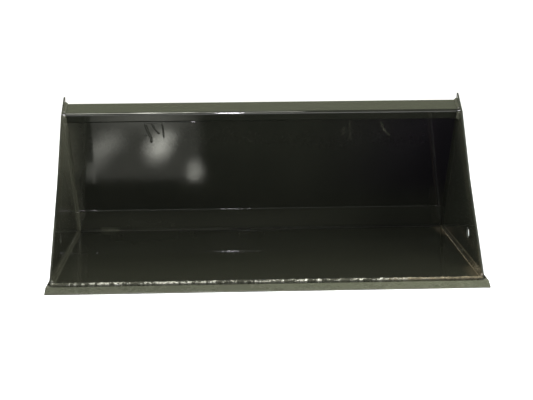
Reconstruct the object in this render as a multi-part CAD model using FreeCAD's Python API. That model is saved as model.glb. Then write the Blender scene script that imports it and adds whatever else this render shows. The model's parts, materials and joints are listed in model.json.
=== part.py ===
import FreeCAD, Part
import math
import os

# Skid steer bucket, welded from plate. Millimetres, +Z up, mouth facing -Y, +X to the right
# for someone who looks into the mouth. "left" is -X. Every shape is drawn with Y = 0 at the
# side plates' feet; move_to_origin() then centres the bucket over the origin.

# Driving dimensions
WIDTH = 1530.0              # over the side plates (a 60 in bucket)
SIDE_THICK = 6.35           # side plates (1/4 in)
SHELL_THICK = 6.35          # floor, heel and back sheet (1/4 in)
BEND_RADIUS = 9.5           # inside radius of the press-brake bend between heel and back
FLOOR_RADIUS = 2.5          # inside radius of the tight bend between floor and heel

EDGE_THICK = 19.05          # cutting edge bar (3/4 in)
EDGE_DEPTH = 152.4          # cutting edge bar, front to back (6 in)
EDGE_REACH = 62.0           # how far the cutting edge stands in front of the feet
EDGE_BEVEL = 32.0           # length of the bevel, seen from above
EDGE_NOSE = 5.0             # blunt front face left under the bevel
EDGE_OVERHANG = 8.0         # cutting edge past each side plate
EDGE_ROUNDING = 1.5         # worn corners of the nose

FLOOR_REACH = 733.0         # feet to the floor's rear bend
HEEL_REACH = 713.0          # feet to the upper bend
HEEL_HEIGHT = 96.0          # side plates' bottom edge to the upper bend
BACK_LEAN = 27.7            # degrees that the back leans towards the mouth
BACK_LENGTH = 452.0         # upper bend to the underside of the top tube

TUBE_DEPTH = 76.2           # top tube, square to the back (3 in)
TUBE_HEIGHT = 44.45         # top tube, along the back (1-3/4 in)
TUBE_WALL = 4.76            # (3/16 in)
TUBE_RADIUS = 9.5           # outside corners
TUBE_PROUD = 9.5            # tube's front face ahead of the back's inner face

SIDE_KINK = (275.0, 302.0)  # front edge of the side plate, from its foot: (back, up)
SIDE_NOSE = (442.0, 530.0)
SIDE_PEAK = (532.0, 592.0)
SIDE_WAIST = (742.0, 96.0)
SIDE_HEEL = 747.0
KINK_ROUNDING = 60.0        # corner radii of the side plate
NOSE_ROUNDING = 20.0
PEAK_ROUNDING = 2.0
WAIST_ROUNDING = 40.0
HEEL_ROUNDING = 14.0
HOLE_AT = (257.0, 98.0)     # lifting hole, from the foot
HOLE_RADIUS = 19.05         # 1-1/2 in hole

WEAR_BARS_X = (-600.0, -210.0, 210.0, 600.0)
WEAR_WIDTH = 76.2
WEAR_START = 106.0
WEAR_END = 690.0
WEAR_CHAMFER = 12.0

# Quick-attach mount on the back, in the usual skid steer size
MOUNT_WIDTH = 1145.0        # over the hook bar
MOUNT_OFFSET = 76.2         # back's inner face to the face that the coupler rests on
PLATE_THICK = 9.525         # hook bar, coupler plates and ribs
HOOK_APEX = 438.0           # hook's inner corner, measured up the back from the upper bend
HOOK_LIP = 45.0             # length of the lip, which turns 45 degrees down over the coupler
HOOK_FLANGE_END = 336.0     # lower end of the hook bar's flat
COUPLER_LOW = -4.0          # top of the lower lip, measured up the back
COUPLER_INNER_X = 322.0     # inner edge of each coupler plate
LIP_THICK = 12.7
LIP_DEPTH = 62.0            # lower lip behind the coupler face
SLOT_SPACING = 933.0        # lock pin slots, centre to centre
SLOT_LENGTH = 60.0
SLOT_WIDTH = 32.0
SLOT_BACK = 32.0            # slot's centre line behind the coupler face
COUPLER_BEND = 5.0          # inside radius of the coupler plate's bend
LIP_ROUNDING = 2.0          # corners of the lower lip
COUPLER_HEEL_SETBACK = 5.0  # lower front corner of the coupler plate, behind its flat
COUPLER_HEEL_ROUNDING = 14.0
RIB_CLEARANCE = 14.0        # rib's foot above the coupler plate's bend
RIB_INSET = 14.0            # outer face of a rib from the coupler plate's edge
HOOK_RIB_X = 110.0          # two short ribs that hold the hook bar's middle
HOOK_RIB_LENGTH = 190.0

BEAD = 9.5                  # leg of the heavy fillet welds inside the bowl
SMALL_BEAD = 6.0            # leg of the welds on the mount, under the floor and outside the feet
HEEL_BEAD_TRIM = 2.0        # heel bead's start past the floor's bend
UPPER_BEAD_TRIM = 4.0       # beads' ends from the upper bend
HOOK_RIB_BEAD_TRIM = 12.0   # short rib's beads from its pointed foot
COUPLER_BEAD_LOW = 40.0     # foot of the coupler plates' beads, up the back

# Worked out from the above
HALF = WIDTH / 2
INNER = HALF - SIDE_THICK
BASE = EDGE_THICK           # height of the feet and of the floor's underside
FLOOR_TOP = BASE + SHELL_THICK
LEAN = math.radians(BACK_LEAN)
UP_BACK = (-math.sin(LEAN), math.cos(LEAN))
OFF_BACK = (math.cos(LEAN), math.sin(LEAN))
UPPER_BEND = (HEEL_REACH, BASE + HEEL_HEIGHT)
PAD_FRONT = MOUNT_OFFSET - PLATE_THICK


def on_back(along, off):
    """Point (y, z) that lies `along` up the back from the upper bend and `off` behind it."""
    y = UPPER_BEND[0] + along * UP_BACK[0] + off * OFF_BACK[0]
    z = UPPER_BEND[1] + along * UP_BACK[1] + off * OFF_BACK[1]
    return (y, z)


COUPLER_FOOT = on_back(COUPLER_LOW, MOUNT_OFFSET)
REAR_Y = COUPLER_FOOT[0] + LIP_DEPTH
CENTRE_Y = (REAR_Y - EDGE_REACH) / 2


def unit(a, b):
    length = math.hypot(b[0] - a[0], b[1] - a[1])
    return ((b[0] - a[0]) / length, (b[1] - a[1]) / length)


def in_plane(point, x):
    return FreeCAD.Vector(x, point[0], point[1])


def corner_arc(before, corner, after, radius):
    """Start, middle and end of the arc that rounds a corner of an outline."""
    back = unit(corner, before)
    ahead = unit(corner, after)
    half = math.acos(back[0] * ahead[0] + back[1] * ahead[1]) / 2
    cut = radius / math.tan(half)
    middle = unit((0.0, 0.0), (back[0] + ahead[0], back[1] + ahead[1]))
    reach = radius / math.sin(half) - radius
    start = (corner[0] + cut * back[0], corner[1] + cut * back[1])
    crown = (corner[0] + reach * middle[0], corner[1] + reach * middle[1])
    end = (corner[0] + cut * ahead[0], corner[1] + cut * ahead[1])
    return start, crown, end


def outline(corners, x):
    """Closed wire at x through (y, z) corners, where (y, z, radius) rounds a corner."""
    edges = []
    first = None
    last = None
    count = len(corners)
    for i, corner in enumerate(corners):
        if len(corner) == 3:
            arc = corner_arc(corners[i - 1], corner, corners[(i + 1) % count], corner[2])
        else:
            arc = (corner, corner, corner)
        start, crown, end = [in_plane(p, x) for p in arc]
        if last is None:
            first = start
        else:
            edges.append(Part.makeLine(last, start))
        if len(corner) == 3:
            edges.append(Part.Arc(start, crown, end).toShape())
        last = end
    edges.append(Part.makeLine(last, first))
    return Part.Wire(edges)


def slab(corners, x0, x1):
    """Solid with the given outline between two planes square to X."""
    face = Part.Face(outline(corners, x0))
    return face.extrude(FreeCAD.Vector(x1 - x0, 0, 0))


def offset_corner(before, corner, after, gap):
    """Corner of a line that runs `gap` to the right of before-corner-after."""
    ahead_1 = unit(before, corner)
    ahead_2 = unit(corner, after)
    normal_1 = (ahead_1[1], -ahead_1[0])
    normal_2 = (ahead_2[1], -ahead_2[0])
    share = 1 + normal_1[0] * normal_2[0] + normal_1[1] * normal_2[1]
    y = corner[0] + gap * (normal_1[0] + normal_2[0]) / share
    z = corner[1] + gap * (normal_1[1] + normal_2[1]) / share
    return (y, z)


FLOOR_FRONT = (0.0, FLOOR_TOP)
FLOOR_BEND = (FLOOR_REACH, FLOOR_TOP)
BACK_TOP = on_back(BACK_LENGTH, 0)


def shell_plate():
    """Floor, heel and back: one sheet with two bends."""
    outer_floor = offset_corner(FLOOR_FRONT, FLOOR_BEND, UPPER_BEND, SHELL_THICK)
    outer_heel = offset_corner(FLOOR_BEND, UPPER_BEND, BACK_TOP, SHELL_THICK)
    corners = [
        FLOOR_FRONT,
        (*FLOOR_BEND, FLOOR_RADIUS),
        (*UPPER_BEND, BEND_RADIUS),
        BACK_TOP,
        on_back(BACK_LENGTH, SHELL_THICK),
        (*outer_heel, BEND_RADIUS + SHELL_THICK),
        (*outer_floor, FLOOR_RADIUS + SHELL_THICK),
        (0.0, BASE),
    ]
    return slab(corners, -INNER, INNER)


def side_plate(side):
    """Side plate with its kinked front edge, its peak over the tube and its lifting hole."""
    corners = [
        (0.0, BASE),
        (SIDE_KINK[0], BASE + SIDE_KINK[1], KINK_ROUNDING),
        (SIDE_NOSE[0], BASE + SIDE_NOSE[1], NOSE_ROUNDING),
        (SIDE_PEAK[0], BASE + SIDE_PEAK[1], PEAK_ROUNDING),
        (SIDE_WAIST[0], BASE + SIDE_WAIST[1], WAIST_ROUNDING),
        (SIDE_HEEL, BASE, HEEL_ROUNDING),
    ]
    plate = slab(corners, side * INNER, side * HALF)
    centre = FreeCAD.Vector(side * INNER, HOLE_AT[0], BASE + HOLE_AT[1])
    hole = Part.makeCylinder(HOLE_RADIUS, SIDE_THICK, centre, FreeCAD.Vector(side, 0, 0))
    return plate.cut(hole)


def tube_section(inset, x):
    low = BACK_LENGTH + inset
    high = BACK_LENGTH + TUBE_HEIGHT - inset
    front = -TUBE_PROUD + inset
    rear = TUBE_DEPTH - TUBE_PROUD - inset
    radius = TUBE_RADIUS - inset
    places = [(low, front), (high, front), (high, rear), (low, rear)]
    return outline([(*on_back(*place), radius) for place in places], x)


def top_tube():
    """Rectangular tube along the back's top edge, closed by the side plates."""
    outside = Part.Face(tube_section(0.0, -INNER))
    inside = Part.Face(tube_section(TUBE_WALL, -INNER))
    return outside.cut(inside).extrude(FreeCAD.Vector(2 * INNER, 0, 0))


def cutting_edge():
    """Flat bar across the mouth, bevelled on top, under the floor's front edge."""
    corners = [
        (-EDGE_REACH, 0.0, EDGE_ROUNDING),
        (-EDGE_REACH, EDGE_NOSE, EDGE_ROUNDING),
        (EDGE_BEVEL - EDGE_REACH, EDGE_THICK),
        (EDGE_DEPTH - EDGE_REACH, EDGE_THICK),
        (EDGE_DEPTH - EDGE_REACH, 0.0),
    ]
    return slab(corners, -HALF - EDGE_OVERHANG, HALF + EDGE_OVERHANG)


def wear_bar(x):
    """Runner under the floor, as thick as the cutting edge, so that the floor sits level."""
    corners = [
        (WEAR_START, 0.0),
        (WEAR_START, BASE),
        (WEAR_END, BASE),
        (WEAR_END, WEAR_CHAMFER),
        (WEAR_END - WEAR_CHAMFER, 0.0),
    ]
    return slab(corners, x - WEAR_WIDTH / 2, x + WEAR_WIDTH / 2)


def hook_bar():
    """Upper edge of the mount: a flat with a lip turned down over the coupler's top edge."""
    tip = HOOK_LIP * math.sqrt(0.5)
    rise = PLATE_THICK * math.sqrt(0.5)
    places = [
        (HOOK_FLANGE_END, PAD_FRONT),
        (HOOK_FLANGE_END, MOUNT_OFFSET),
        (HOOK_APEX, MOUNT_OFFSET),
        (HOOK_APEX - tip, MOUNT_OFFSET + tip),
        (HOOK_APEX - tip + rise, MOUNT_OFFSET + tip + rise),
        (HOOK_APEX + 2 * rise + PLATE_THICK, PAD_FRONT),
    ]
    corners = [on_back(*place) for place in places]
    return slab(corners, -MOUNT_WIDTH / 2, MOUNT_WIDTH / 2)


def lock_slot(x, y):
    """Cutter for one lock pin slot, long across the bucket, through the lower lip."""
    radius = SLOT_WIDTH / 2
    straight = SLOT_LENGTH - SLOT_WIDTH
    low = COUPLER_FOOT[1] - 2 * LIP_THICK
    depth = 4 * LIP_THICK
    up = FreeCAD.Vector(0, 0, 1)
    corner = FreeCAD.Vector(x - straight / 2, y - radius, low)
    cutter = Part.makeBox(straight, SLOT_WIDTH, depth, corner)
    for end in (-1, 1):
        centre = FreeCAD.Vector(x + end * straight / 2, y, low)
        cutter = cutter.fuse(Part.makeCylinder(radius, depth, centre, up))
    return cutter.removeSplitter()


def coupler_plate(side):
    """Bent plate: its flat takes the coupler, its level lower lip takes the lock pin."""
    lip_top = COUPLER_FOOT[1]
    front_foot = on_back(COUPLER_LOW, PAD_FRONT)
    corners = [
        on_back(HOOK_FLANGE_END, MOUNT_OFFSET),
        (*COUPLER_FOOT, COUPLER_BEND),
        (REAR_Y, lip_top, LIP_ROUNDING),
        (REAR_Y, lip_top - LIP_THICK, LIP_ROUNDING),
        (front_foot[0] + COUPLER_HEEL_SETBACK, lip_top - LIP_THICK, COUPLER_HEEL_ROUNDING),
        on_back(HOOK_FLANGE_END, PAD_FRONT),
    ]
    x0 = side * COUPLER_INNER_X
    x1 = side * MOUNT_WIDTH / 2
    plate = slab(corners, x0, x1)
    slot = lock_slot(side * SLOT_SPACING / 2, COUPLER_FOOT[0] + SLOT_BACK)
    return plate.cut(slot)


def mount_rib(x):
    """Full-height rib between the back sheet and a coupler plate."""
    corners = [
        on_back(BEND_RADIUS + SHELL_THICK, SHELL_THICK),
        on_back(BACK_LENGTH, SHELL_THICK),
        on_back(BACK_LENGTH, PAD_FRONT),
        on_back(COUPLER_LOW + RIB_CLEARANCE, PAD_FRONT),
    ]
    return slab(corners, x, x + PLATE_THICK)


def hook_rib(x):
    """Short rib behind the middle of the hook bar, tapered to the back sheet."""
    low = BACK_LENGTH - HOOK_RIB_LENGTH
    corners = [
        on_back(low, SHELL_THICK),
        on_back(BACK_LENGTH, SHELL_THICK),
        on_back(BACK_LENGTH, PAD_FRONT),
        on_back(HOOK_FLANGE_END, PAD_FRONT),
    ]
    return slab(corners, x, x + PLATE_THICK)


def bead(start, end, leg_a, leg_b, leg):
    """Plain triangular fillet weld from start to end, on the two directions of its plates."""
    corner = FreeCAD.Vector(*start)
    on_a = corner + FreeCAD.Vector(*leg_a) * leg
    on_b = corner + FreeCAD.Vector(*leg_b) * leg
    face = Part.Face(Part.makePolygon([corner, on_a, on_b, corner]))
    return face.extrude(FreeCAD.Vector(*end) - corner)


def side_bead(side, start, end, off, leg):
    """Bead in the corner of a side plate's inner face and a sheet, from (y, z) to (y, z)."""
    x = side * INNER
    away = (0, off[0], off[1])
    return bead((x, *start), (x, *end), (-side, 0, 0), away, leg)


def floor_weld(side):
    end = (FLOOR_REACH - 2 * FLOOR_RADIUS - HEEL_BEAD_TRIM, FLOOR_TOP)
    return side_bead(side, FLOOR_FRONT, end, (0, 1), BEAD)


def heel_weld(side):
    along = unit(FLOOR_BEND, UPPER_BEND)
    trim = BEAD + HEEL_BEAD_TRIM
    start = (FLOOR_BEND[0] + trim * along[0], FLOOR_BEND[1] + trim * along[1])
    end = (UPPER_BEND[0] - UPPER_BEAD_TRIM * along[0], UPPER_BEND[1] - UPPER_BEAD_TRIM * along[1])
    return side_bead(side, start, end, (-along[1], along[0]), BEAD)


def back_weld(side):
    off = (-OFF_BACK[0], -OFF_BACK[1])
    return side_bead(side, on_back(UPPER_BEAD_TRIM, 0), on_back(BACK_LENGTH, 0), off, BEAD)


def rear_weld(side):
    """Bead behind the back sheet, where the side plate stands past it."""
    start = on_back(BEND_RADIUS + SHELL_THICK, SHELL_THICK)
    end = on_back(BACK_LENGTH, SHELL_THICK)
    return side_bead(side, start, end, OFF_BACK, SMALL_BEAD)


def tube_weld(side):
    """Beads round the tube's end: on its front face, its top and its underside."""
    low = BACK_LENGTH
    high = BACK_LENGTH + TUBE_HEIGHT
    front = -TUBE_PROUD
    rear = TUBE_DEPTH - TUBE_PROUD
    trim = TUBE_RADIUS
    on_front = side_bead(side, on_back(low + trim, front), on_back(high - trim, front),
                         (-OFF_BACK[0], -OFF_BACK[1]), BEAD)
    on_top = side_bead(side, on_back(high, front + trim), on_back(high, rear - trim),
                       UP_BACK, BEAD)
    below = side_bead(side, on_back(low, SHELL_THICK + SMALL_BEAD), on_back(low, rear - trim),
                      (-UP_BACK[0], -UP_BACK[1]), SMALL_BEAD)
    return Part.makeCompound([on_front, on_top, below])


def foot_weld(side):
    """Bead outside the side plate's foot, on the cutting edge's overhang."""
    rear = EDGE_DEPTH - EDGE_REACH
    x = side * HALF
    return bead((x, 0, BASE), (x, rear, BASE), (side, 0, 0), (0, 0, 1), SMALL_BEAD)


def floor_front_weld():
    """Bead along the floor's front edge, on the cutting edge's top."""
    leg = SHELL_THICK
    return bead((-INNER, 0, BASE), (INNER, 0, BASE), (0, -1, 0), (0, 0, 1), leg)


def edge_rear_weld():
    """Bead under the floor, on the cutting edge's rear face."""
    rear = EDGE_DEPTH - EDGE_REACH
    return bead((-INNER, rear, BASE), (INNER, rear, BASE), (0, 1, 0), (0, 0, -1), SMALL_BEAD)


def wear_bar_welds():
    beads = []
    for x in WEAR_BARS_X:
        for side in (-1, 1):
            edge = x + side * WEAR_WIDTH / 2
            start = (edge, WEAR_START, BASE)
            end = (edge, WEAR_END, BASE)
            beads.append(bead(start, end, (side, 0, 0), (0, 0, -1), SMALL_BEAD))
    return Part.makeCompound(beads)


def rib_beads(x, low, high, off, away):
    """Pair of beads, one on each face of a rib whose near face is at x."""
    beads = []
    for face, side in ((x, -1), (x + PLATE_THICK, 1)):
        start = (face, *on_back(low, off))
        end = (face, *on_back(high, off))
        leg_b = (0, away * OFF_BACK[0], away * OFF_BACK[1])
        beads.append(bead(start, end, (side, 0, 0), leg_b, SMALL_BEAD))
    return beads


def rib_places():
    """X of each full-height rib's low face, left to right."""
    outer = MOUNT_WIDTH / 2 - RIB_INSET
    inner = COUPLER_INNER_X + RIB_INSET
    return [-outer, -inner - PLATE_THICK, inner, outer - PLATE_THICK]


def hook_rib_places():
    return [-HOOK_RIB_X - PLATE_THICK, HOOK_RIB_X]


def rib_welds():
    """Beads that hold the ribs to the back sheet."""
    beads = []
    for x in rib_places():
        beads += rib_beads(x, BEND_RADIUS + SHELL_THICK + UPPER_BEAD_TRIM, BACK_LENGTH, SHELL_THICK, 1)
    for x in hook_rib_places():
        low = BACK_LENGTH - HOOK_RIB_LENGTH + HOOK_RIB_BEAD_TRIM
        beads += rib_beads(x, low, BACK_LENGTH, SHELL_THICK, 1)
    return Part.makeCompound(beads)


def coupler_welds():
    """Beads that hold the coupler plates and the hook bar to the ribs."""
    beads = []
    for x in rib_places():
        beads += rib_beads(x, COUPLER_BEAD_LOW, BACK_LENGTH - SMALL_BEAD, PAD_FRONT, -1)
    for x in hook_rib_places():
        beads += rib_beads(x, HOOK_FLANGE_END, BACK_LENGTH - SMALL_BEAD, PAD_FRONT, -1)
    return Part.makeCompound(beads)


def hook_weld():
    """Bead along the hook bar's upper edge, on the tube's rear face."""
    top = HOOK_APEX + 2 * PLATE_THICK * math.sqrt(0.5) + PLATE_THICK
    start = (-MOUNT_WIDTH / 2, *on_back(top, PAD_FRONT))
    end = (MOUNT_WIDTH / 2, *on_back(top, PAD_FRONT))
    down_lip = (0, *unit(on_back(0, 0), on_back(-1, 1)))
    return bead(start, end, (0, *UP_BACK), down_lip, SMALL_BEAD)


def build():
    nodes = {
        "shell_plate": shell_plate(),
        "top_tube": top_tube(),
        "cutting_edge": cutting_edge(),
        "hook_bar": hook_bar(),
        "weld_floor_front": floor_front_weld(),
        "weld_edge_rear": edge_rear_weld(),
        "weld_wear_bars": wear_bar_welds(),
        "weld_ribs": rib_welds(),
        "weld_coupler": coupler_welds(),
        "weld_hook_bar": hook_weld(),
    }
    paired = {
        "side_plate": side_plate,
        "coupler_plate": coupler_plate,
        "weld_floor": floor_weld,
        "weld_heel": heel_weld,
        "weld_back": back_weld,
        "weld_rear": rear_weld,
        "weld_tube": tube_weld,
        "weld_foot": foot_weld,
    }
    for name, make in paired.items():
        nodes[name + "_left"] = make(-1)
        nodes[name + "_right"] = make(1)
    for number, x in enumerate(WEAR_BARS_X, 1):
        nodes["wear_bar_%d" % number] = wear_bar(x)
    for number, x in enumerate(rib_places(), 1):
        nodes["mount_rib_%d" % number] = mount_rib(x)
    for number, x in enumerate(hook_rib_places(), 1):
        nodes["hook_rib_%d" % number] = hook_rib(x)
    return nodes


def move_to_origin(shape):
    shape.translate(FreeCAD.Vector(0, -CENTRE_Y, 0))
    return shape


os.makedirs("parts", exist_ok=True)
for name, shape in build().items():
    move_to_origin(shape).exportStep("parts/" + name + ".step")
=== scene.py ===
import bpy
import bmesh
import json
import math
import random
from mathutils import Matrix, Vector, noise


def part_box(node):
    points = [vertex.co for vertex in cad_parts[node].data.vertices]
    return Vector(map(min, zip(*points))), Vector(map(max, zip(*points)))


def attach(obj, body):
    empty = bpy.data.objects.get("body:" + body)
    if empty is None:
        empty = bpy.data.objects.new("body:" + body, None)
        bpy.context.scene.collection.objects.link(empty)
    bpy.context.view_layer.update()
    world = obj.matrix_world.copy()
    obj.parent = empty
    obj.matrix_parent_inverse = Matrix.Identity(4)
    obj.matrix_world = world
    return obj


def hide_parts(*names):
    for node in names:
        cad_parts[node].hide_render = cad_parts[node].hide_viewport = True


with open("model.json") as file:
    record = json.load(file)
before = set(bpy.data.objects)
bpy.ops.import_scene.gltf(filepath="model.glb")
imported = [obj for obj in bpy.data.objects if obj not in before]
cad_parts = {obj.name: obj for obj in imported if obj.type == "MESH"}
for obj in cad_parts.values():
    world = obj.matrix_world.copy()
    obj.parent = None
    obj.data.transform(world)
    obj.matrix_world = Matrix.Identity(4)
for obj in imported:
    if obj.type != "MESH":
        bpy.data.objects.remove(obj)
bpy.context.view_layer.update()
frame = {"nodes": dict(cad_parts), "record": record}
scene = bpy.context.scene
scene.view_settings.view_transform = "Standard"

# Camera: in front of the mouth, a little left of the middle and a little above the bucket.
CAMERA_PLACE = (-0.1254, -3.9717, 1.1170)
CAMERA_YAW = math.radians(1.94)
CAMERA_PITCH = math.radians(12.67)
CAMERA_ROLL = math.radians(-0.40)
CAMERA_LENS = 71.9

camera = bpy.data.objects.new("camera", bpy.data.cameras.new("camera"))
camera.data.lens = CAMERA_LENS
camera.data.sensor_width = 36.0
camera.matrix_world = (
    Matrix.Translation(CAMERA_PLACE)
    @ Matrix.Rotation(-CAMERA_YAW, 4, "Z")
    @ Matrix.Rotation(math.pi / 2 - CAMERA_PITCH, 4, "X")
    @ Matrix.Rotation(CAMERA_ROLL, 4, "Z")
)
scene.collection.objects.link(camera)
scene.camera = camera

# Places that come from the frame
MOUNTS = {m["name"]: m for m in frame["record"]["mounts"]}
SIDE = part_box("side_plate_right")
INNER = SIDE[0].x
HALF = SIDE[1].x
FOOT_Y = SIDE[0].y
BASE = SIDE[0].z
FLOOR_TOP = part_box("weld_floor_right")[0].z
SHELL_THICK = FLOOR_TOP - BASE
HOOK = Vector(MOUNTS["hook"]["pos_m"])
OFF_BACK = Vector(MOUNTS["hook"]["axis"])
UP_BACK = Vector((0, -OFF_BACK.z, OFF_BACK.y))

# Dimensions of the design that the beads and marks follow, in metres
HOOK_APEX = 0.438
MOUNT_OFFSET = 0.0762
BACK_LENGTH = 0.452
TUBE_HEIGHT = 0.04445
TUBE_DEPTH = 0.0762
TUBE_PROUD = 0.0095
FLOOR_REACH = 0.733
PLATE_THICK = 0.009525


def on_back(x, along, off):
    """Point at x that lies `along` up the back from its lower bend and `off` behind it."""
    return Vector((x, 0, 0)) + HOOK + UP_BACK * (along - HOOK_APEX) + OFF_BACK * (off - MOUNT_OFFSET)


# ---------------------------------------------------------------- materials

def node(tree, kind, **values):
    made = tree.nodes.new(kind)
    for key, value in values.items():
        if hasattr(made, key):
            setattr(made, key, value)
        else:
            made.inputs[key.replace("_", " ")].default_value = value
    return made


def noise_map(tree, coords, scale, detail=4.0, rough=0.55, stretch=None):
    """Noise texture's factor over the row frame's metres."""
    link = tree.links.new
    source = coords
    if stretch:
        mapping = node(tree, "ShaderNodeMapping")
        mapping.inputs["Scale"].default_value = stretch
        link(coords, mapping.inputs["Vector"])
        source = mapping.outputs["Vector"]
    made = node(tree, "ShaderNodeTexNoise")
    made.inputs["Scale"].default_value = scale
    made.inputs["Detail"].default_value = detail
    made.inputs["Roughness"].default_value = rough
    link(source, made.inputs["Vector"])
    return made.outputs["Fac"]


def ramp(tree, source, points):
    """Colour ramp: points are (position, grey or colour)."""
    made = node(tree, "ShaderNodeValToRGB")
    while len(made.color_ramp.elements) < len(points):
        made.color_ramp.elements.new(0.5)
    for element, (place, value) in zip(made.color_ramp.elements, points):
        element.position = place
        colour = (value, value, value) if isinstance(value, float) else value
        element.color = (*colour, 1.0)
    tree.links.new(source, made.inputs["Fac"])
    return made.outputs["Color"]


def mix(tree, factor, a, b, blend="MIX"):
    made = node(tree, "ShaderNodeMix", data_type="RGBA", blend_type=blend)
    for socket, value in ((made.inputs[0], factor), (made.inputs[6], a), (made.inputs[7], b)):
        if isinstance(value, bpy.types.NodeSocket):
            tree.links.new(value, socket)
        elif isinstance(value, tuple):
            socket.default_value = (*value, 1.0)
        else:
            socket.default_value = value
    return made.outputs[2]


def bump(tree, height, strength, distance, normal=None):
    made = node(tree, "ShaderNodeBump")
    made.inputs["Strength"].default_value = strength
    made.inputs["Distance"].default_value = distance
    tree.links.new(height, made.inputs["Height"])
    if normal:
        tree.links.new(normal, made.inputs["Normal"])
    return made.outputs["Normal"]


BLACK = (0.0084, 0.0091, 0.0070)
# colour of the painted shade at the back's upper right
VIOLET_BLACK = (0.004, 0.0033, 0.0052)
CORNER_DIRT_AND_SHADE = (0.002, 0.002, 0.002)
DUSTY = (0.034, 0.035, 0.027)
OLIVE = (0.060, 0.062, 0.046)
PALE = (0.095, 0.097, 0.075)
PLATE_PAINTED_LIGHT = (0.20, 0.203, 0.160)
SAND = (0.20, 0.17, 0.12)
TAN = (0.14, 0.115, 0.075)
TOP_DUST = (0.025, 0.028, 0.0165)
EDGE_PALE = (0.061, 0.065, 0.0455)
GLINT_PALE = (0.34, 0.34, 0.30)

# Fades: axis, where there is none, where it is full
TO_MOUTH = ("Y", 0.33, -0.40)
TO_FLOOR = ("Z", 0.20, 0.03)
HEEL_TOP = ("Z", 0.125, 0.105)
HEEL_FOOT = ("Y", 0.318, 0.335)
HEEL_LEFT = ("X", 0.65, -0.10)
# where the painted shade at the back's upper right lies
DARK_RIGHT = ("X", 0.10, 0.68)
DARK_UPPER = ("Z", 0.11, 0.26)
FACING_UP = ("Z", 0.83, 0.88)
FACING_MOUTH = ("Y", -0.20, -0.40)
BEVEL_RIGHT = ("X", -0.5, 0.8)
GLINTS_LEFT = ("X", 0.66, 0.30)

# Shares of full strength
SETTLED_AND_LIT = 0.65
HEEL_LIFT = 0.22
DARKENING = 0.85
BEVEL_LEAST = 0.40
GLINT_SHARE = 0.85

DULL_ROUGH = 0.6
DULL_SPEC = 0.03
WIDE_MARK = 0.095           # marks from this width up are smooth patches, not scuffs
SCUFF_GRAIN = [(0.35, 0.35), (0.60, 1.0)]
WIDE_GRAIN = [(0.35, 0.62), (0.60, 0.82)]


def grey(value):
    return (value, value, value)


def streak(tree, coords, start, end, width):
    """1 on the line from start to end, fading to 0 at `width` from it."""
    link = tree.links.new
    along = Vector(end) - Vector(start)
    from_start = node(tree, "ShaderNodeVectorMath", operation="SUBTRACT")
    link(coords, from_start.inputs[0])
    from_start.inputs[1].default_value = start
    share = node(tree, "ShaderNodeVectorMath", operation="DOT_PRODUCT")
    link(from_start.outputs[0], share.inputs[0])
    share.inputs[1].default_value = along / max(along.length_squared, 1e-9)
    kept = node(tree, "ShaderNodeClamp")
    link(share.outputs["Value"], kept.inputs["Value"])
    foot = node(tree, "ShaderNodeVectorMath", operation="SCALE")
    foot.inputs[0].default_value = along
    link(kept.outputs["Result"], foot.inputs["Scale"])
    gap = node(tree, "ShaderNodeVectorMath", operation="DISTANCE")
    link(from_start.outputs[0], gap.inputs[0])
    link(foot.outputs[0], gap.inputs[1])
    fade = node(tree, "ShaderNodeMapRange", interpolation_type="SMOOTHSTEP")
    link(gap.outputs["Value"], fade.inputs["Value"])
    fade.inputs["From Max"].default_value = width
    fade.inputs["To Min"].default_value = 1.0
    fade.inputs["To Max"].default_value = 0.0
    return fade.outputs["Result"]


def slope(tree, coords, axis, low, high):
    """0 below `low` on an axis, 1 above `high`."""
    parts = node(tree, "ShaderNodeSeparateXYZ")
    tree.links.new(coords, parts.inputs[0])
    made = node(tree, "ShaderNodeMapRange", interpolation_type="SMOOTHSTEP")
    tree.links.new(parts.outputs[axis], made.inputs["Value"])
    made.inputs["From Min"].default_value = low
    made.inputs["From Max"].default_value = high
    return made.outputs["Result"]


def combine(tree, operation, a, b):
    made = node(tree, "ShaderNodeMath", operation=operation)
    for socket, value in zip(made.inputs, (a, b)):
        if isinstance(value, float):
            socket.default_value = value
        else:
            tree.links.new(value, socket)
    return made.outputs[0]


def times(tree, a, b):
    return combine(tree, "MULTIPLY", a, b)


def plus(tree, a, b):
    return combine(tree, "ADD", a, b)


def bowl_dust_and_shade(tree, coords, grain, colour):
    """Floor lighter towards the mouth with dust and painted light, the heel lighter, and painted shade at
    the back's upper right.
    """
    # the floor lighter towards the mouth: settled dust, and painted light where the floor's front is less
    # shaded
    settled_dust_and_light = times(tree, slope(tree, coords, *TO_MOUTH), slope(tree, coords, *TO_FLOOR))
    settled_dust_and_light = times(tree, settled_dust_and_light, SETTLED_AND_LIT)
    colour = mix(tree, times(tree, settled_dust_and_light, grain), colour, DUSTY)
    # the heel lighter, most towards the left
    heel = times(tree, slope(tree, coords, *HEEL_TOP), slope(tree, coords, *HEEL_FOOT))
    heel = times(tree, heel, slope(tree, coords, *HEEL_LEFT))
    colour = mix(tree, times(tree, heel, HEEL_LIFT), colour, DUSTY)
    # painted shade: the back darker and violet towards its upper right
    dark = times(tree, slope(tree, coords, *DARK_RIGHT), slope(tree, coords, *DARK_UPPER))
    return mix(tree, times(tree, dark, DARKENING), colour, VIOLET_BLACK)


def top_dust(tree, coords, grain, colour):
    """Dust on the faces that look up."""
    normal = node(tree, "ShaderNodeNewGeometry").outputs["Normal"]
    upward = slope(tree, normal, *FACING_UP)
    return mix(tree, times(tree, upward, grain), colour, TOP_DUST)


def bevel_paler(tree, coords, grain, colour):
    """The cutting edge's bevel paler, more so to the right."""
    normal = node(tree, "ShaderNodeNewGeometry").outputs["Normal"]
    bevel = slope(tree, normal, *FACING_MOUTH)
    amount = mix(tree, slope(tree, coords, *BEVEL_RIGHT), grey(BEVEL_LEAST), grey(1.0))
    return mix(tree, times(tree, bevel, amount), colour, EDGE_PALE)


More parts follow.
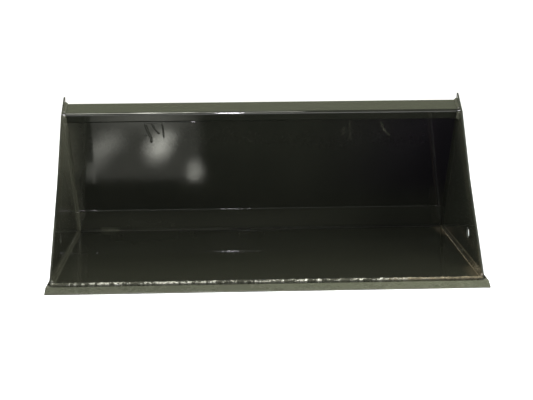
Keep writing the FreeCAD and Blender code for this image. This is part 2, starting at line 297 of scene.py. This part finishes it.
def add_marks(tree, coords, fine, colour, marks, within):
    """Smudges, scuffs, painted highlights, painted light and painted shade over a colour."""
    for start, end, width, tint, strength in marks:
        spread = times(tree, streak(tree, coords, start, end, width), strength)
        patchy = ramp(tree, fine, SCUFF_GRAIN if width < WIDE_MARK else WIDE_GRAIN)
        if within:
            spread = times(tree, spread, slope(tree, coords, *within))
        colour = mix(tree, times(tree, spread, patchy), colour, tint)
    return colour


def paint(name, base=BLACK, dust=DUSTY, dust_level=0.12, rough=(0.03, 0.06), peel=1.0, tan=0.0,
          layer=None, spec=0.5, glints=False, marks=(), within=None, dull=()):
    """Gloss enamel on steel: orange peel, dust film, hazy patches and fine scratches.

    layer(tree, coords, grain, colour) adds the colouring that only one piece has: dust, a paler bevel,
    painted light and painted shade.
    marks are (start, end, width, colour, strength): smudges, scuffs, painted highlights, painted light and
    painted shade along lines.
    within is (axis, none, full): the marks fade in between two places on an axis.
    glints adds painted highlights on a weld's ripples: pale specks where the gloss is raised too.
    dull is (start, end, width): lines where dirt hides the gloss."""
    made = bpy.data.materials.new(name)
    made.use_nodes = True
    tree = made.node_tree
    shader = tree.nodes["Principled BSDF"]
    link = tree.links.new
    coords = node(tree, "ShaderNodeTexCoord").outputs["Object"]
    cloud = noise_map(tree, coords, 5.0, 6.0, 0.6)
    fine = noise_map(tree, coords, 90.0, 5.0, 0.65)
    film = ramp(tree, cloud, [(0.42, 0.0), (0.72, dust_level)])
    grain = ramp(tree, fine, [(0.30, 0.5), (0.75, 1.0)])
    colour = mix(tree, mix(tree, 1.0, film, grain, "MULTIPLY"), base, dust)
    if layer:
        colour = layer(tree, coords, grain, colour)
    colour = add_marks(tree, coords, fine, colour, marks, within)
    if tan:
        rust = ramp(tree, noise_map(tree, coords, 38.0, 6.0, 0.7), [(0.52, 0.0), (0.66, tan)])
        colour = mix(tree, rust, colour, TAN)
    shader.inputs["Specular IOR Level"].default_value = spec
    if glints:
        # painted highlights: pale specks with raised gloss on the weld's ripples
        glinting = ramp(tree, noise_map(tree, coords, 62.0, 3.0, 0.6), [(0.50, 0.04), (0.57, 1.0)])
        glinting = times(tree, glinting, slope(tree, coords, *GLINTS_LEFT))
        link(glinting, shader.inputs["Specular IOR Level"])
        colour = mix(tree, times(tree, glinting, GLINT_SHARE), colour, GLINT_PALE)
    link(colour, shader.inputs["Base Color"])
    streaks = noise_map(tree, coords, 60.0, 3.0, 0.6, stretch=(1.0, 14.0, 14.0))
    worn = mix(tree, 0.35, cloud, streaks)
    matt = ramp(tree, worn, [(0.30, rough[0]), (0.75, rough[1])])
    for start, end, width in dull:
        hidden = streak(tree, coords, start, end, width)
        matt = mix(tree, hidden, matt, grey(DULL_ROUGH))
        link(mix(tree, hidden, grey(spec), grey(DULL_SPEC)), shader.inputs["Specular IOR Level"])
    link(matt, shader.inputs["Roughness"])
    flow = bump(tree, noise_map(tree, coords, 260.0, 2.0, 0.5), 0.010 * peel, 0.002)
    slow = noise_map(tree, coords, 14.0, 2.0, 0.4)
    link(bump(tree, slow, 0.010 * peel, 0.01, flow), shader.inputs["Normal"])
    shader.inputs["IOR"].default_value = 1.5
    return made


FRONT_EDGE = [              # side plate's front edge, from its foot: (back, up)
    (0.0, 0.0),
    (0.275, 0.302),
    (0.442, 0.530),
]


def floor_point(x, back, up=0.0):
    """Point `back` from the feet and `up` from the floor's face."""
    return (x, FOOT_Y + back, FLOOR_TOP + up)


def side_point(side, back, up):
    """Point on a side plate's inner face, measured from its foot."""
    return (side * INNER, FOOT_Y + back, BASE + up)


def edge_lighter(side, width, tint, strength):
    """Lighter colour that thins away from a side plate's front edge."""
    return [(side_point(side, *a), side_point(side, *b), width, tint, strength)
            for a, b in zip(FRONT_EDGE, FRONT_EDGE[1:])]


FLOOR_CORNER = (floor_point(-INNER, FLOOR_REACH), floor_point(INNER, FLOOR_REACH), 0.012)
BOWL_MARKS = [
    # dark line in the floor's rear corner: dirt, and painted shade in the crease
    (*FLOOR_CORNER, CORNER_DIRT_AND_SHADE, 0.95),
    (floor_point(-0.72, FLOOR_REACH), floor_point(-0.14, FLOOR_REACH), 0.005, OLIVE, 0.30),
    (floor_point(-0.66, FLOOR_REACH, 0.006), floor_point(-0.60, FLOOR_REACH, 0.002), 0.014, OLIVE, 0.5),
    # painted highlights along the toes of the floor's side welds
    (floor_point(-INNER + 0.013, 0.0), floor_point(-INNER + 0.0095, 0.70), 0.0040, PALE, 1.0),
    (floor_point(INNER - 0.013, 0.0), floor_point(INNER - 0.0095, 0.68), 0.0050, SAND, 1.0),
    (floor_point(0.745, 0.0), floor_point(0.745, 0.10), 0.050, TAN, 0.50),
    (floor_point(0.745, 0.60), floor_point(0.735, 0.70), 0.032, TAN, 0.35),
    # painted reflection: lighter strip up the back's left edge, beside the side plate
    (on_back(-INNER, 0.0, 0), on_back(-INNER, 0.40, 0), 0.050, PALE, 0.26),
    (on_back(-INNER, 0.25, 0), on_back(-INNER, 0.43, 0), 0.100, PALE, 0.28),
    (on_back(0.339, 0.443, 0), on_back(0.344, 0.36, 0), 0.008, OLIVE, 0.22),
    (on_back(0.316, 0.41, 0), on_back(0.318, 0.385, 0), 0.012, OLIVE, 0.22),
    (on_back(0.461, 0.436, 0), on_back(0.476, 0.398, 0), 0.011, OLIVE, 0.25),
    (on_back(0.476, 0.398, 0), on_back(0.498, 0.373, 0), 0.009, OLIVE, 0.25),
    (on_back(0.683, 0.31, 0), on_back(0.688, 0.27, 0), 0.006, OLIVE, 0.15),
]
LEFT_MARKS = edge_lighter(-1, 0.13, OLIVE, 0.30) + [
    # painted light: the left plate lighter high up
    (side_point(-1, 0.45, 0.60), side_point(-1, 0.60, 0.60), 0.65, PLATE_PAINTED_LIGHT, 0.7),
    # painted highlight along the toe of the left floor weld
    (side_point(-1, 0.0, 0.019), side_point(-1, 0.70, 0.0155), 0.0040, PALE, 1.0),
    # painted light filling the tube's shadow on the left plate, along the back
    (side_point(-1, 0.70, 0.12), side_point(-1, 0.50, 0.50), 0.13, PLATE_PAINTED_LIGHT, 0.35),
]
RIGHT_MARKS = edge_lighter(1, 0.10, OLIVE, 0.70) + [
    (side_point(1, 0.34, 0.44), side_point(1, 0.47, 0.55), 0.17, OLIVE, 0.60),
    # painted highlight along the toe of the right floor weld
    (side_point(1, 0.0, 0.019), side_point(1, 0.68, 0.0155), 0.0050, SAND, 1.0),
    (side_point(1, 0.030, 0.025), side_point(1, 0.095, 0.090), 0.016, TAN, 0.65),
    (side_point(1, 0.153, 0.071), side_point(1, 0.435, 0.083), 0.014, TAN, 0.25),
]
SKIN = 0.002                # depth of a side plate that still takes its inner face's marks
LEFT_INSIDE = ("X", -HALF + SKIN, -INNER - SKIN)
RIGHT_INSIDE = ("X", HALF - SKIN, INNER + SKIN)
TAN_FOOT = (floor_point(0.75, 0.0, 0.01), floor_point(0.75, 0.10, 0.01), 0.08, TAN, 0.45)
TAN_END = (floor_point(0.45, 0.0), floor_point(0.75, 0.0), 0.06, SAND, 0.75)

MATERIALS = {
    "bowl": paint("bowl_paint", layer=bowl_dust_and_shade, marks=BOWL_MARKS, dull=[FLOOR_CORNER]),
    # the side plates' paints are lighter than the bowl's, the left's most: painted light on the side plates
    "left": paint("left_paint", base=(0.021, 0.022, 0.0175), dust_level=0.25, rough=(0.04, 0.08),
                  marks=LEFT_MARKS, within=LEFT_INSIDE, dull=[FLOOR_CORNER]),
    "right": paint("right_paint", base=(0.018, 0.0195, 0.015), dust_level=0.2, rough=(0.04, 0.08),
                   marks=RIGHT_MARKS, within=RIGHT_INSIDE, dull=[FLOOR_CORNER]),
    "tube": paint("tube_paint", layer=top_dust),
    "edge": paint("edge_paint", base=(0.014, 0.015, 0.011), dust=(0.060, 0.060, 0.044), dust_level=0.25,
                  rough=(0.22, 0.34), peel=2.0, layer=bevel_paler),
    "rim_left": paint("left_rim_paint", base=(0.008, 0.009, 0.007), dust=(0.10, 0.10, 0.08), dust_level=0.5,
                      rough=(0.50, 0.65), peel=2.0, spec=0.05),
    "rim": paint("rim_paint", base=(0.018, 0.020, 0.017), dust=(0.085, 0.086, 0.066), dust_level=0.25,
                 rough=(0.30, 0.45), peel=4.0, spec=0.3),
    "mount": paint("mount_paint"),
    "seam": paint("seam_paint", rough=(0.04, 0.07), peel=0.1),
    "weld": paint("weld_paint", base=(0.006, 0.0065, 0.005), dust=OLIVE, dust_level=0.05,
                  rough=(0.50, 0.65), peel=1.0, spec=0.02),
    "weld_olive": paint("olive_weld_paint", base=(0.030, 0.031, 0.023), dust=OLIVE, dust_level=0.6,
                        rough=(0.12, 0.30), peel=3.0),
    "weld_tan": paint("tan_weld_paint", base=(0.016, 0.016, 0.012), dust=OLIVE, dust_level=0.3,
                      rough=(0.16, 0.34), peel=3.0, tan=0.20, marks=[TAN_FOOT]),
    "weld_front": paint("front_weld_paint", base=(0.028, 0.029, 0.022), dust=(0.10, 0.10, 0.078),
                        dust_level=0.5, rough=(0.06, 0.12), glints=True, marks=[TAN_END]),
}


# ---------------------------------------------------------------- plates

def weigh_normals(mesh, sharp):
    """Corner normals averaged by face area, so that a flat stays flat beside its bends."""
    around = [[] for _ in mesh.vertices]
    for face in mesh.polygons:
        for index in face.vertices:
            around[index].append(face)
    limit = math.cos(sharp)
    normals = []
    for face in mesh.polygons:
        for index in face.vertices:
            near = [other for other in around[index] if other.normal.dot(face.normal) > limit]
            total = sum((other.normal * other.area for other in near), Vector())
            normals.append(total.normalized())
    mesh.normals_split_custom_set(normals)


def finish_mesh(bm, name, materials, sharp=math.radians(35), weigh=False):
    """Smooth-shaded object whose edges past `sharp` stay crisp."""
    for face in bm.faces:
        face.smooth = True
    for edge in bm.edges:
        angle = edge.calc_face_angle(None)
        edge.smooth = angle is None or angle < sharp
    mesh = bpy.data.meshes.new(name)
    bm.to_mesh(mesh)
    bm.free()
    for key in materials:
        mesh.materials.append(MATERIALS[key])
    if weigh:
        weigh_normals(mesh, sharp)
    made = bpy.data.objects.new(name, mesh)
    scene.collection.objects.link(made)
    return made


def cut_grid(bm, axis, step):
    """Cuts every face by planes square to an axis, so that it can be waved gently."""
    places = [v.co[axis] for v in bm.verts]
    low = min(places)
    high = max(places)
    count = int((high - low) / step)
    normal = Vector((0, 0, 0))
    normal[axis] = 1.0
    for i in range(1, count):
        point = Vector((0, 0, 0))
        point[axis] = low + (high - low) * i / count
        everything = bm.verts[:] + bm.edges[:] + bm.faces[:]
        bmesh.ops.bisect_plane(bm, geom=everything, dist=1e-6, plane_co=point, plane_no=normal)


def refine(name, material, bevel=0.0008, rim=None, rim_material="rim", grid=None, wave=0.0, crisp=30):
    """Finer copy of a CAD plate: rounded edges, and faces with a rolled sheet's slight waves."""
    bm = bmesh.new()
    bm.from_mesh(frame["nodes"][name].data)
    bmesh.ops.remove_doubles(bm, verts=bm.verts, dist=1e-6)
    bmesh.ops.dissolve_limit(bm, angle_limit=math.radians(0.4), verts=bm.verts, edges=bm.edges)
    corners = [e for e in bm.edges if e.calc_face_angle(0) > math.radians(crisp)]
    made = bmesh.ops.bevel(bm, geom=corners, offset=bevel, segments=2, profile=0.6,
                           affect="EDGES", clamp_overlap=True)
    for face in bm.faces:
        face.material_index = 0
    if rim:
        for face in made["faces"]:
            face.material_index = 1
        for face in bm.faces:
            if rim(face):
                face.material_index = 1
    for axis, step in (grid or {}).items():
        cut_grid(bm, axis, step)
    if wave:
        for vert in bm.verts:
            co = vert.co
            vert.co += vert.normal * wave * noise.noise(co * 3.1)
    keys = [material, rim_material] if rim else [material]
    piece = finish_mesh(bm, name + "_skin", keys, sharp=math.radians(crisp + 5), weigh=True)
    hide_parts(name)
    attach(piece, "root")
    return piece


def is_cut_edge(face):
    """Faces round a side plate's outline, between its two flat sides."""
    return abs(face.normal.x) < 0.5


refine("side_plate_left", "left", rim=is_cut_edge, rim_material="rim_left")
refine("side_plate_right", "right", rim=is_cut_edge)
refine("coupler_plate_left", "mount")
refine("coupler_plate_right", "mount")
refine("shell_plate", "bowl", grid={0: 0.06}, wave=0.0003)
refine("top_tube", "tube", bevel=0.0003)
refine("cutting_edge", "edge", bevel=0.0009, crisp=15)
refine("hook_bar", "mount")
for number in range(1, 5):
    refine("wear_bar_%d" % number, "edge", bevel=0.001)
    refine("mount_rib_%d" % number, "mount")
for number in range(1, 3):
    refine("hook_rib_%d" % number, "mount")


# ---------------------------------------------------------------- weld beads

RIPPLE = 0.0042             # distance from one weld ripple to the next
STATION = 0.0011            # distance between a bead's cross-sections
PROFILE = 9                 # points across a bead
BITE = 0.0006               # how far a bead sinks into its plates
draw = random.Random(7)


def add_bead(bm, start, end, leg_a, leg_b, leg, seed, ripple=RIPPLE, step=STATION, swell=0.10, lump=0.12):
    """Rippled fillet from start to end, in the corner of directions leg_a and leg_b.

    leg is one size or (at start, at end). swell is the ripples' height as a share of it, and
    lump is how far its size wanders."""
    along = end - start
    length = along.length
    along.normalize()
    count = max(8, int(length / step))
    outward = (leg_a + leg_b).normalized()
    rings = []
    first, last = leg if isinstance(leg, tuple) else (leg, leg)
    for i in range(count + 1):
        s = length * i / count
        leg = first + (last - first) * i / count
        fade = min(1.0, (s + 0.0008) / 0.004, (length - s + 0.0008) / 0.004) ** 0.5
        slow = noise.noise(Vector((s * 40, seed, 0)))
        size_a = leg * fade * (1 + lump * noise.noise(Vector((s * 90, seed, 3))) + 0.06 * slow)
        size_b = leg * fade * (1 + lump * noise.noise(Vector((s * 90, seed, 7))) - 0.06 * slow)
        ring = []
        for j in range(PROFILE):
            t = j / (PROFILE - 1)
            arch = 4 * t * (1 - t)
            phase = s / ripple + 0.55 * (1 - arch) + 0.5 * slow
            crest = (phase % 1.0) ** 0.7 if swell < 0.2 else 0.5 + 0.5 * math.sin(phase * 2 * math.pi)
            lift = (0.16 + swell * crest) * leg * arch * fade
            place = leg_a * (size_a * (1 - t)) + leg_b * (size_b * t) + outward * lift
            if j in (0, PROFILE - 1):
                place -= outward * BITE
            ring.append(bm.verts.new(start + along * s + place))
        ring.append(bm.verts.new(start + along * s - outward * BITE))
        rings.append(ring)
    size = PROFILE + 1
    for a, b in zip(rings, rings[1:]):
        for j in range(size):
            k = (j + 1) % size
            bm.faces.new((a[j], a[k], b[k], b[j]))
    bm.faces.new(rings[0])
    bm.faces.new(reversed(rings[-1]))


def bead_piece(node_name, beads, material="weld", ripple=RIPPLE, step=STATION, swell=0.10, lump=0.12):
    """One piece of rippled beads in place of a CAD weld node."""
    bm = bmesh.new()
    for start, end, leg_a, leg_b, leg in beads:
        add_bead(bm, start, end, leg_a, leg_b, leg, draw.uniform(0, 100), ripple, step, swell, lump)
    bmesh.ops.recalc_face_normals(bm, faces=bm.faces)
    piece = finish_mesh(bm, node_name + "_bead", [material], sharp=math.radians(70))
    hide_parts(node_name)
    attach(piece, "root")
    return piece


X = Vector((1, 0, 0))
Y = Vector((0, 1, 0))
Z = Vector((0, 0, 1))
BEAD = 0.0095
SMALL = 0.006
FLOOR_BEAD = (0.011, 0.008)  # the floor's side welds thin out towards the heel
CLEAR = 0.004               # gap from a weld's end to a corner
PAD_CLEAR = 0.006           # the same at the top of the coupler plates' welds
TUBE_CLEAR = 0.01           # the same under the tube's rear
RIB_START = 0.02            # distances up the back where the mount's welds start
PAD_START = 0.04
HOOK_RIB_START = 0.274
HOOK_PAD_START = 0.336
UPPER = on_back(0, 0, 0)
FLOOR_BEND = Vector((0, FOOT_Y + FLOOR_REACH, FLOOR_TOP))
HEEL_UP = (UPPER - FLOOR_BEND).normalized()
HEEL_OFF = Vector((0, -HEEL_UP.z, HEEL_UP.y))
EDGE_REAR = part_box("cutting_edge")[1].y
MOUNT_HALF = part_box("hook_bar")[1].x
PAD_FRONT = MOUNT_OFFSET - PLATE_THICK

for name, side in (("left", -1), ("right", 1)):
    wall = X * side * INNER
    inward = -X * side
    floor_start = wall + Y * FOOT_Y + Z * FLOOR_TOP
    bead_piece("weld_floor_" + name, [(floor_start, wall + FLOOR_BEND, inward, Z, FLOOR_BEAD)],
               "weld_tan" if side > 0 else "weld_olive")
    # the left corner's welds lighter than the right's
    corner_weld_paint = "weld" if side > 0 else "weld_olive"
    bead_piece("weld_heel_" + name,
               [(wall + FLOOR_BEND + HEEL_OFF * 0.001, wall + UPPER, inward, HEEL_OFF, BEAD)], corner_weld_paint)
    bead_piece("weld_back_" + name,
               [(on_back(wall.x, 0, 0), on_back(wall.x, BACK_LENGTH, 0), inward, -OFF_BACK, BEAD)], corner_weld_paint)
    bead_piece("weld_rear_" + name,
               [(on_back(wall.x, RIB_START, SHELL_THICK), on_back(wall.x, BACK_LENGTH, SHELL_THICK),
                 inward, OFF_BACK, SMALL)])
    top = BACK_LENGTH + TUBE_HEIGHT
    rear = TUBE_DEPTH - TUBE_PROUD
    bead_piece("weld_tube_" + name, [
        (on_back(wall.x, BACK_LENGTH + CLEAR, -TUBE_PROUD), on_back(wall.x, top - CLEAR, -TUBE_PROUD),
         inward, -OFF_BACK, BEAD),
        (on_back(wall.x, top, -TUBE_PROUD + CLEAR), on_back(wall.x, top, rear - CLEAR),
         inward, UP_BACK, BEAD),
        (on_back(wall.x, BACK_LENGTH, SHELL_THICK + SMALL), on_back(wall.x, BACK_LENGTH, rear - TUBE_CLEAR),
         inward, -UP_BACK, SMALL)], "weld_olive")
    outer = X * side * HALF
    bead_piece("weld_foot_" + name,
               [(outer + Y * FOOT_Y + Z * BASE, outer + Y * EDGE_REAR + Z * BASE, X * side, Z, SMALL)])

left_foot = X * -INNER + Y * FOOT_Y + Z * BASE
bead_piece("weld_floor_front", [(left_foot, left_foot + X * 2 * INNER, -Y, Z, SHELL_THICK)],
           "weld_front", ripple=0.013, swell=0.30, lump=0.45)
left_rear = X * -INNER + Y * EDGE_REAR + Z * BASE
bead_piece("weld_edge_rear", [(left_rear, left_rear + X * 2 * INNER, Y, -Z, SMALL)], step=0.002)

under = []
for number in range(1, 5):
    low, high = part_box("wear_bar_%d" % number)
    for x, side in ((low.x, -1), (high.x, 1)):
        under.append((Vector((x, low.y, BASE)), Vector((x, high.y, BASE)), X * side, -Z, SMALL))
bead_piece("weld_wear_bars", under, step=0.002)

ribs = []
pads = []
RIB_KINDS = (               # node names, how many, where the rib's and the plate's welds start
    ("mount_rib_%d", 4, RIB_START, PAD_START),
    ("hook_rib_%d", 2, HOOK_RIB_START, HOOK_PAD_START),
)
for kind, count, rib_start, pad_start in RIB_KINDS:
    for number in range(1, count + 1):
        low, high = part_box(kind % number)
        for x, side in ((low.x, -1), (high.x, 1)):
            ribs.append((on_back(x, rib_start, SHELL_THICK), on_back(x, BACK_LENGTH, SHELL_THICK),
                         X * side, OFF_BACK, SMALL))
            pads.append((on_back(x, pad_start, PAD_FRONT), on_back(x, BACK_LENGTH - PAD_CLEAR, PAD_FRONT),
                         X * side, -OFF_BACK, SMALL))
bead_piece("weld_ribs", ribs, step=0.0018)
bead_piece("weld_coupler", pads, step=0.0018)
hook_top = HOOK_APEX + PLATE_THICK * (1 + math.sqrt(2))
lip_down = (OFF_BACK - UP_BACK).normalized()
bead_piece("weld_hook_bar",
           [(on_back(-MOUNT_HALF, hook_top, PAD_FRONT), on_back(MOUNT_HALF, hook_top, PAD_FRONT),
             UP_BACK, lip_down, SMALL)])


# ---------------------------------------------------------------- paint runs and weld spatter

RUNS = [                    # (x, distance up the back) along each run, and its width
    ([(-0.455, 0.443), (-0.449, 0.418), (-0.442, 0.392), (-0.434, 0.372), (-0.435, 0.348)], 0.0100),
    ([(-0.428, 0.443), (-0.420, 0.420), (-0.409, 0.402), (-0.402, 0.390)], 0.0080),
    ([(-0.389, 0.443), (-0.386, 0.412), (-0.385, 0.370)], 0.0070),
    ([(-0.465, 0.444), (-0.40, 0.446), (-0.33, 0.447), (-0.255, 0.447)], 0.0045),
    ([(-0.262, 0.447), (-0.256, 0.438)], 0.0060),
    ([(-0.462, 0.385), (-0.452, 0.386)], 0.0050),
    ([(-0.50, 0.268), (-0.43, 0.264), (-0.37, 0.258)], 0.0018),
]
SPATTER = [                 # x, distance up the back, radius
    (-0.426, 0.161, 0.0024),
    (-0.426, 0.089, 0.0024),
    (-0.346, 0.065, 0.0018),
    (-0.60, 0.41, 0.0016),
    (0.12, 0.33, 0.0012),
    (-0.16, 0.05, 0.0012),
    (0.57, 0.18, 0.0014),
]


def add_run(bm, places, width):
    """Low rounded ridge of paint down the back along the given places."""
    rings = []
    for i, (x, along) in enumerate(places):
        before = places[max(0, i - 1)]
        after = places[min(len(places) - 1, i + 1)]
        ahead = Vector((after[0] - before[0], after[1] - before[1])).normalized()
        half = width / 2 * (0.35 if i in (0, len(places) - 1) else 1.0)
        ring = []
        for j in range(7):
            t = math.pi * j / 6
            aside = math.cos(t) * half
            lift = math.sin(t) * half * 0.30 - 0.0001
            ring.append(bm.verts.new(on_back(x - ahead.y * aside, along + ahead.x * aside, -lift)))
        rings.append(ring)
    for a, b in zip(rings, rings[1:]):
        for j in range(6):
            bm.faces.new((a[j], a[j + 1], b[j + 1], b[j]))
        bm.faces.new((a[6], a[0], b[0], b[6]))
    bm.faces.new(rings[0])
    bm.faces.new(reversed(rings[-1]))


def add_seam(bm, start, end, upward, outward, radius, spread):
    """Low round ridge from start to end; `spread` is half of the angle that its profile turns."""
    along = end - start
    count = 240
    rings = []
    for i in range(count + 1):
        place = start + along * i / count
        size = radius * (1 + 0.25 * noise.noise(Vector((i * 0.35, 5, 0))))
        ring = []
        for j in range(9):
            turn = spread * (j / 4 - 1)
            lift = (math.cos(turn) - math.cos(spread)) * size - 0.0001
            ring.append(bm.verts.new(place + upward * math.sin(turn) * size + outward * lift))
        rings.append(ring)
    for a, b in zip(rings, rings[1:]):
        for j in range(8):
            bm.faces.new((a[j], a[j + 1], b[j + 1], b[j]))
        bm.faces.new((a[8], a[0], b[0], b[8]))
    bm.faces.new(rings[0])
    bm.faces.new(reversed(rings[-1]))


SEAM_RADIUS = 0.0055
SEAM_SPREAD = math.radians(42)
SEAM_HALF = INNER - 0.001

seam = bmesh.new()
seam_out = (HEEL_OFF - OFF_BACK).normalized()
seam_up = Vector((0, seam_out.z, -seam_out.y))
add_seam(seam, UPPER - X * SEAM_HALF, UPPER + X * SEAM_HALF, seam_up, seam_out,
         SEAM_RADIUS, SEAM_SPREAD)
bmesh.ops.recalc_face_normals(seam, faces=seam.faces)
bend_seam = finish_mesh(seam, "bend_seam", ["seam"], sharp=math.radians(60))
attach(bend_seam, "root")

runs = bmesh.new()
for places, width in RUNS:
    fuller = []
    for a, b in zip(places, places[1:]):
        fuller += [(a[0] + (b[0] - a[0]) * k / 4, a[1] + (b[1] - a[1]) * k / 4) for k in range(4)]
    add_run(runs, fuller + [places[-1]], width)
for x, along, radius in SPATTER:
    place = Matrix.Translation(on_back(x, along, 0))
    bmesh.ops.create_icosphere(runs, subdivisions=2, radius=radius, matrix=place)
bmesh.ops.recalc_face_normals(runs, faces=runs.faces)
paint_runs = finish_mesh(runs, "paint_runs", ["bowl"], sharp=math.radians(80))
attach(paint_runs, "root")


# ---------------------------------------------------------------- floor and light

ROOM = (0.40, 0.415, 0.345)
BACKDROP = (1.02, 1.05, 0.82)
OVERHEAD = (0.36, 0.37, 0.31)
SEEN_WHITE = (1.0, 0.985, 1.0)
BEHIND = ("Y", 0.0, 0.42)
ABOVE = ("Z", 0.15, 0.60)
FLOOR_COLOUR = (0.86, 0.86, 0.90, 1)
FLOOR_GLOW = (0.95, 0.93, 1.0, 1)
FLOOR_GLOW_LEVEL = 0.6


def plain_floor():
    bpy.ops.mesh.primitive_plane_add(size=400, location=(0, 0, 0))
    floor = bpy.context.object
    floor.name = "studio_floor"
    made = bpy.data.materials.new("studio_floor")
    made.use_nodes = True
    shader = made.node_tree.nodes["Principled BSDF"]
    shader.inputs["Base Color"].default_value = FLOOR_COLOUR
    shader.inputs["Roughness"].default_value = 0.9
    shader.inputs["Specular IOR Level"].default_value = 0.1
    shader.inputs["Emission Color"].default_value = FLOOR_GLOW
    shader.inputs["Emission Strength"].default_value = FLOOR_GLOW_LEVEL
    floor.data.materials.append(made)


def sky():
    """Studio round the bucket: white behind it, and dimmer overhead and behind the camera.

    The camera itself sees plain white."""
    world = bpy.data.worlds.new("studio")
    scene.world = world
    world.use_nodes = True
    tree = world.node_tree
    link = tree.links.new
    shader = tree.nodes["Background"]
    sight = node(tree, "ShaderNodeTexCoord").outputs["Generated"]
    room = mix(tree, slope(tree, sight, *ABOVE), ROOM, OVERHEAD)
    colour = mix(tree, slope(tree, sight, *BEHIND), room, BACKDROP)
    path = node(tree, "ShaderNodeLightPath")
    seen = mix(tree, path.outputs["Is Camera Ray"], colour, SEEN_WHITE)
    link(seen, shader.inputs["Color"])
    shader.inputs["Strength"].default_value = 1.0


def area(name, place, target, size, power, colour):
    data = bpy.data.lights.new(name, "AREA")
    data.shape = "RECTANGLE"
    data.size, data.size_y = size
    data.energy = power
    data.color = colour
    made = bpy.data.objects.new(name, data)
    made.location = place
    made.rotation_euler = (Vector(target) - Vector(place)).to_track_quat("-Z", "Y").to_euler()
    made.visible_camera = False
    scene.collection.objects.link(made)
    return made


PANEL_PLACE = (-0.790, -1.60, 3.0)
PANEL_SIZE = (0.98, 0.94)
PANEL_LEVEL = 13.0
PANEL_RIGHT = PANEL_PLACE[0] + PANEL_SIZE[0] / 2
PANEL_FADE = 0.11
WARM = (1.0, 1.0, 0.9)
GLOWS = [                   # uneven lamp behind the panel: place, half size, turn, strength
    ((-0.66, -1.38), (0.13, 0.17), 25.0, 190.0),
    ((-0.60, -1.48), (0.12, 0.10), 0.0, 80.0),
    ((-0.375, -1.17), (0.115, 0.16), 0.0, 125.0),
    ((-1.03, -1.42), (0.20, 0.14), -30.0, 55.0),
    ((-1.12, -1.31), (0.16, 0.18), 0.0, 34.0),
    ((-0.75, -1.65), (0.50, 0.20), 0.0, 24.0),
    ((-0.33, -1.98), (0.30, 0.62), 0.0, -12.0),
]


def panel():
    """Soft light panel over the left of the mouth, brighter in places than in others."""
    made = area("panel", PANEL_PLACE, (PANEL_PLACE[0], PANEL_PLACE[1], 0), PANEL_SIZE, 1.0, WARM)
    data = made.data
    data.energy = math.pi * PANEL_SIZE[0] * PANEL_SIZE[1]
    data.use_nodes = True
    tree = data.node_tree
    link = tree.links.new
    place = node(tree, "ShaderNodeNewGeometry").outputs["Position"]
    total = PANEL_LEVEL
    for (x, y), (half_x, half_y), turn, strength in GLOWS:
        local = node(tree, "ShaderNodeMapping", vector_type="TEXTURE")
        link(place, local.inputs["Vector"])
        local.inputs["Location"].default_value = (x, y, PANEL_PLACE[2])
        local.inputs["Rotation"].default_value = (0, 0, math.radians(turn))
        local.inputs["Scale"].default_value = (half_x, half_y, 1.0)
        reach = node(tree, "ShaderNodeVectorMath", operation="LENGTH")
        link(local.outputs["Vector"], reach.inputs[0])
        glow = node(tree, "ShaderNodeMapRange", interpolation_type="SMOOTHSTEP")
        link(reach.outputs["Value"], glow.inputs["Value"])
        glow.inputs["To Min"].default_value = strength
        glow.inputs["To Max"].default_value = 0.0
        total = plus(tree, total, glow.outputs["Result"])
    soft_side = slope(tree, place, "X", PANEL_RIGHT, PANEL_RIGHT - PANEL_FADE)
    link(times(tree, total, soft_side), tree.nodes["Emission"].inputs["Strength"])


plain_floor()
sky()
panel()
LIGHTS = [                  # name, place, target, size, power, colour
    ("middle_light", (-0.23, -2.1, 3.0), (-0.23, -2.1, 0), (1.20, 0.60), 55, WARM),
    ("right_fill", (3.2, -3.4, 1.7), (0, 0, 0.3), (1.0, 1.0), 100, (1.0, 1.0, 0.86)),
    ("flash", (-0.125, -3.93, 1.30), (-0.125, 0, 0.2), (0.20, 0.45), 80, (0.95, 0.92, 1.0)),
]
for light in LIGHTS:
    area(*light)
